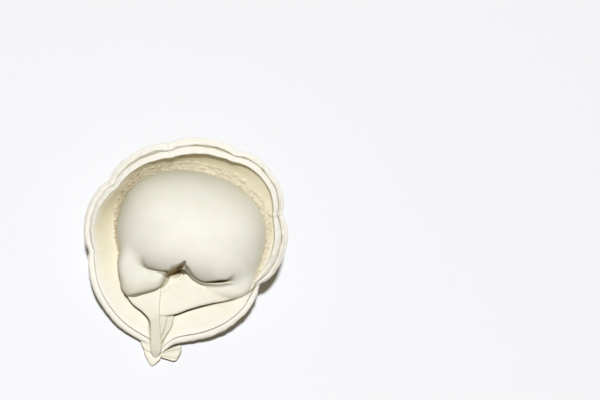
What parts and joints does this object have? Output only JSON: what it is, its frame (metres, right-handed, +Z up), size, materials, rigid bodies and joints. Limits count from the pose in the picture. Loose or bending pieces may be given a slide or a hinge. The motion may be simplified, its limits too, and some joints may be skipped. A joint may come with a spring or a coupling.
{
  "type": "raw pelmen",
  "caption": "Raw filled dough dumpling, a half-moon curled into a ring: round belly, scalloped two-sheet brim, folded-over ends and a pinched tail.",
  "frame": {"origin": "centre of the footprint's bounding rectangle, on the table the dumpling lies on", "axes": "+Z up; -Y towards the pinched tail; +Y towards the raised side of the brim; +X to the right, seen from the tail with the belly up"},
  "size_m": [0.0338, 0.0366, 0.016],
  "materials": {
    "dough": "matte, lightly floured"
  },
  "bodies": {
    "root": {"pelmen": "dough"}
  },
  "joints": []
}
